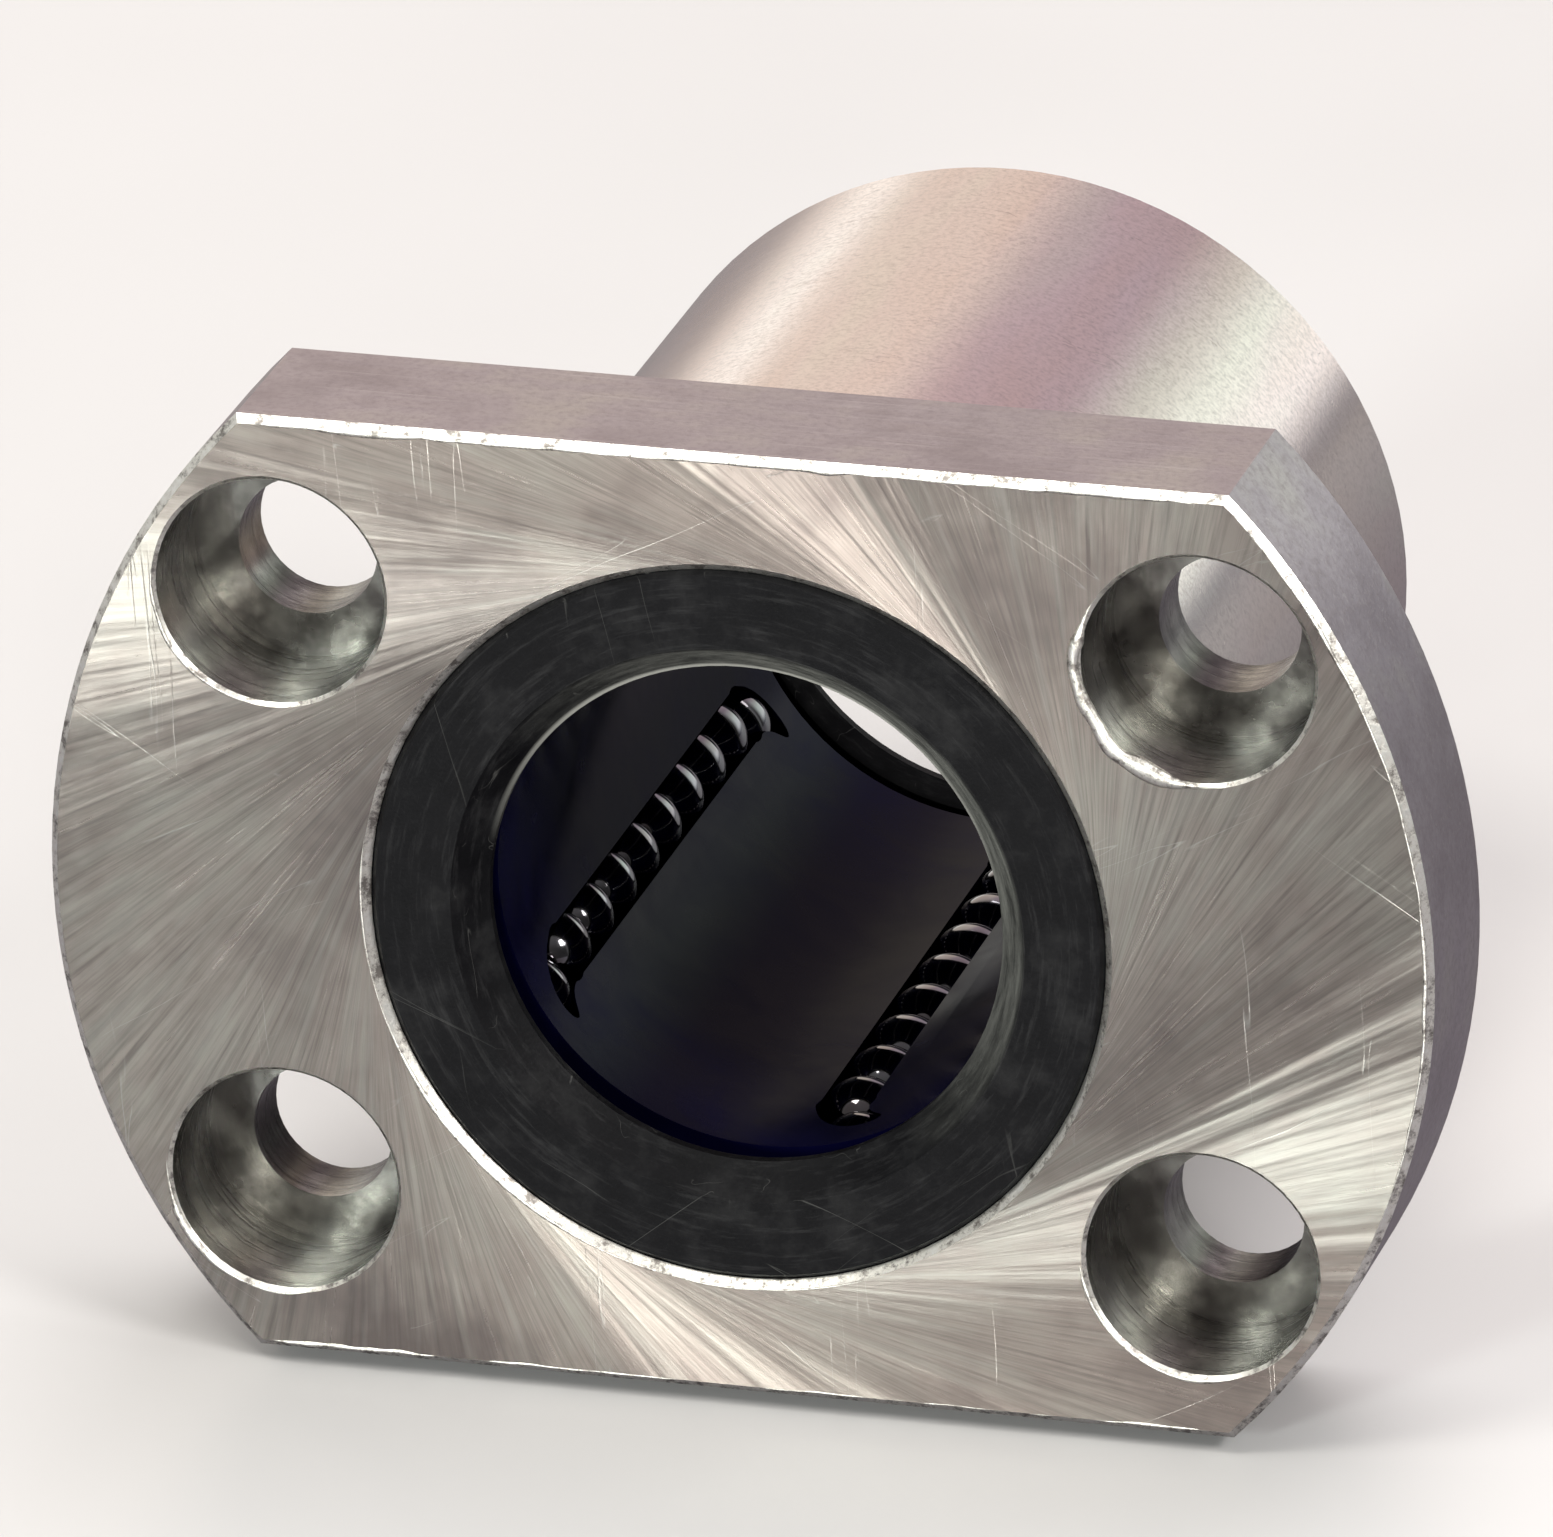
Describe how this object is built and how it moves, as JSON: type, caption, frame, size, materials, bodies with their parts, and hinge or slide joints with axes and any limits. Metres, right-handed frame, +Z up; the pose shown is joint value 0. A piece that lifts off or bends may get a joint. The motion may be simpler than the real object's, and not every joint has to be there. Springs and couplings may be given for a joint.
{
  "type": "linear ball bushing",
  "caption": "Flanged linear ball bushing with a flat-sided flange, screw holes with head recesses, recirculating ball rows and rubber end seals.",
  "frame": {"origin": "on the shaft axis, in the plane of the flange's back face", "axes": "+Y along the shaft axis from the flange to the barrel's rear end, +X along the flange's flats, +Z up across the flats"},
  "size_m": [0.054, 0.042, 0.038],
  "materials": {
    "steel_body": "turned and ground bearing steel",
    "retainer_plastic": "glossy black moulding",
    "seal_rubber": "matte moulded rubber",
    "insert_steel": "stamped steel",
    "ring_steel": "phosphated spring steel",
    "ball_steel": "polished bearing ball"
  },
  "bodies": {
    "housing": {"flanged_sleeve": "steel_body", "ball_retainer": "retainer_plastic", "front_seal": "seal_rubber", "rear_seal": "seal_rubber", "front_seal_insert": "insert_steel", "rear_seal_insert": "insert_steel", "front_snap_ring": "ring_steel", "rear_snap_ring": "ring_steel"},
    "load_row_1": {"load_balls_1": "ball_steel"},
    "return_row_1": {"return_balls_1": "ball_steel"},
    "front_turn_1": {"front_turn_balls_1": "ball_steel"},
    "rear_turn_1": {"rear_turn_balls_1": "ball_steel"},
    "load_row_2": {"load_balls_2": "ball_steel"},
    "return_row_2": {"return_balls_2": "ball_steel"},
    "front_turn_2": {"front_turn_balls_2": "ball_steel"},
    "rear_turn_2": {"rear_turn_balls_2": "ball_steel"},
    "load_row_3": {"load_balls_3": "ball_steel"},
    "return_row_3": {"return_balls_3": "ball_steel"},
    "front_turn_3": {"front_turn_balls_3": "ball_steel"},
    "rear_turn_3": {"rear_turn_balls_3": "ball_steel"},
    "load_row_4": {"load_balls_4": "ball_steel"},
    "return_row_4": {"return_balls_4": "ball_steel"},
    "front_turn_4": {"front_turn_balls_4": "ball_steel"},
    "rear_turn_4": {"rear_turn_balls_4": "ball_steel"},
    "load_row_5": {"load_balls_5": "ball_steel"},
    "return_row_5": {"return_balls_5": "ball_steel"},
    "front_turn_5": {"front_turn_balls_5": "ball_steel"},
    "rear_turn_5": {"rear_turn_balls_5": "ball_steel"}
  },
  "joints": [
    {"name": "load_row_1_slide", "type": "slide", "parent": "housing", "child": "load_row_1", "axis": [0, 1, 0], "range_m": [-0.0016, 0.0016]},
    {"name": "return_row_1_slide", "type": "slide", "parent": "housing", "child": "return_row_1", "axis": [0, 1, 0], "range_m": [-0.0016, 0.0016]},
    {"name": "front_turn_1_hinge", "type": "hinge", "parent": "housing", "child": "front_turn_1", "pos_m": [0.01166, 0.0002, 0.00084], "axis": [0.9797, 0.1908, -0.062], "range_deg": [-45, 45]},
    {"name": "rear_turn_1_hinge", "type": "hinge", "parent": "housing", "child": "rear_turn_1", "pos_m": [0.01166, 0.0258, 0.00084], "axis": [0.9797, -0.1908, -0.062], "range_deg": [-45, 45]},
    {"name": "load_row_2_slide", "type": "slide", "parent": "housing", "child": "load_row_2", "axis": [0, 1, 0], "range_m": [-0.0016, 0.0016]},
    {"name": "return_row_2_slide", "type": "slide", "parent": "housing", "child": "return_row_2", "axis": [0, 1, 0], "range_m": [-0.0016, 0.0016]},
    {"name": "front_turn_2_hinge", "type": "hinge", "parent": "housing", "child": "front_turn_2", "pos_m": [0.0028, 0.0002, 0.01135], "axis": [0.3617, 0.1908, 0.9126], "range_deg": [-45, 45]},
    {"name": "rear_turn_2_hinge", "type": "hinge", "parent": "housing", "child": "rear_turn_2", "pos_m": [0.0028, 0.0258, 0.01135], "axis": [0.3617, -0.1908, 0.9126], "range_deg": [-45, 45]},
    {"name": "load_row_3_slide", "type": "slide", "parent": "housing", "child": "load_row_3", "axis": [0, 1, 0], "range_m": [-0.0016, 0.0016]},
    {"name": "return_row_3_slide", "type": "slide", "parent": "housing", "child": "return_row_3", "axis": [0, 1, 0], "range_m": [-0.0016, 0.0016]},
    {"name": "front_turn_3_hinge", "type": "hinge", "parent": "housing", "child": "front_turn_3", "pos_m": [-0.00993, 0.0002, 0.00617], "axis": [-0.7561, 0.1908, 0.626], "range_deg": [-45, 45]},
    {"name": "rear_turn_3_hinge", "type": "hinge", "parent": "housing", "child": "rear_turn_3", "pos_m": [-0.00993, 0.0258, 0.00617], "axis": [-0.7561, -0.1908, 0.626], "range_deg": [-45, 45]},
    {"name": "load_row_4_slide", "type": "slide", "parent": "housing", "child": "load_row_4", "axis": [0, 1, 0], "range_m": [-0.0016, 0.0016]},
    {"name": "return_row_4_slide", "type": "slide", "parent": "housing", "child": "return_row_4", "axis": [0, 1, 0], "range_m": [-0.0016, 0.0016]},
    {"name": "front_turn_4_hinge", "type": "hinge", "parent": "housing", "child": "front_turn_4", "pos_m": [-0.00894, 0.0002, -0.00754], "axis": [-0.829, 0.1908, -0.5257], "range_deg": [-45, 45]},
    {"name": "rear_turn_4_hinge", "type": "hinge", "parent": "housing", "child": "rear_turn_4", "pos_m": [-0.00894, 0.0258, -0.00754], "axis": [-0.829, -0.1908, -0.5257], "range_deg": [-45, 45]},
    {"name": "load_row_5_slide", "type": "slide", "parent": "housing", "child": "load_row_5", "axis": [0, 1, 0], "range_m": [-0.0016, 0.0016]},
    {"name": "return_row_5_slide", "type": "slide", "parent": "housing", "child": "return_row_5", "axis": [0, 1, 0], "range_m": [-0.0016, 0.0016]},
    {"name": "front_turn_5_hinge", "type": "hinge", "parent": "housing", "child": "front_turn_5", "pos_m": [0.00441, 0.0002, -0.01083], "axis": [0.2438, 0.1908, -0.9509], "range_deg": [-45, 45]},
    {"name": "rear_turn_5_hinge", "type": "hinge", "parent": "housing", "child": "rear_turn_5", "pos_m": [0.00441, 0.0258, -0.01083], "axis": [0.2438, -0.1908, -0.9509], "range_deg": [-45, 45]}
  ],
  "couplings": [
    {"joint": "return_row_1_slide", "follows": "load_row_1_slide", "ratio": -1},
    {"joint": "front_turn_1_hinge", "follows": "load_row_1_slide", "rad_per_m": 490.87},
    {"joint": "rear_turn_1_hinge", "follows": "load_row_1_slide", "rad_per_m": 490.87},
    {"joint": "return_row_2_slide", "follows": "load_row_2_slide", "ratio": -1},
    {"joint": "front_turn_2_hinge", "follows": "load_row_2_slide", "rad_per_m": 490.87},
    {"joint": "rear_turn_2_hinge", "follows": "load_row_2_slide", "rad_per_m": 490.87},
    {"joint": "return_row_3_slide", "follows": "load_row_3_slide", "ratio": -1},
    {"joint": "front_turn_3_hinge", "follows": "load_row_3_slide", "rad_per_m": 490.87},
    {"joint": "rear_turn_3_hinge", "follows": "load_row_3_slide", "rad_per_m": 490.87},
    {"joint": "return_row_4_slide", "follows": "load_row_4_slide", "ratio": -1},
    {"joint": "front_turn_4_hinge", "follows": "load_row_4_slide", "rad_per_m": 490.87},
    {"joint": "rear_turn_4_hinge", "follows": "load_row_4_slide", "rad_per_m": 490.87},
    {"joint": "return_row_5_slide", "follows": "load_row_5_slide", "ratio": -1},
    {"joint": "front_turn_5_hinge", "follows": "load_row_5_slide", "rad_per_m": 490.87},
    {"joint": "rear_turn_5_hinge", "follows": "load_row_5_slide", "rad_per_m": 490.87}
  ]
}
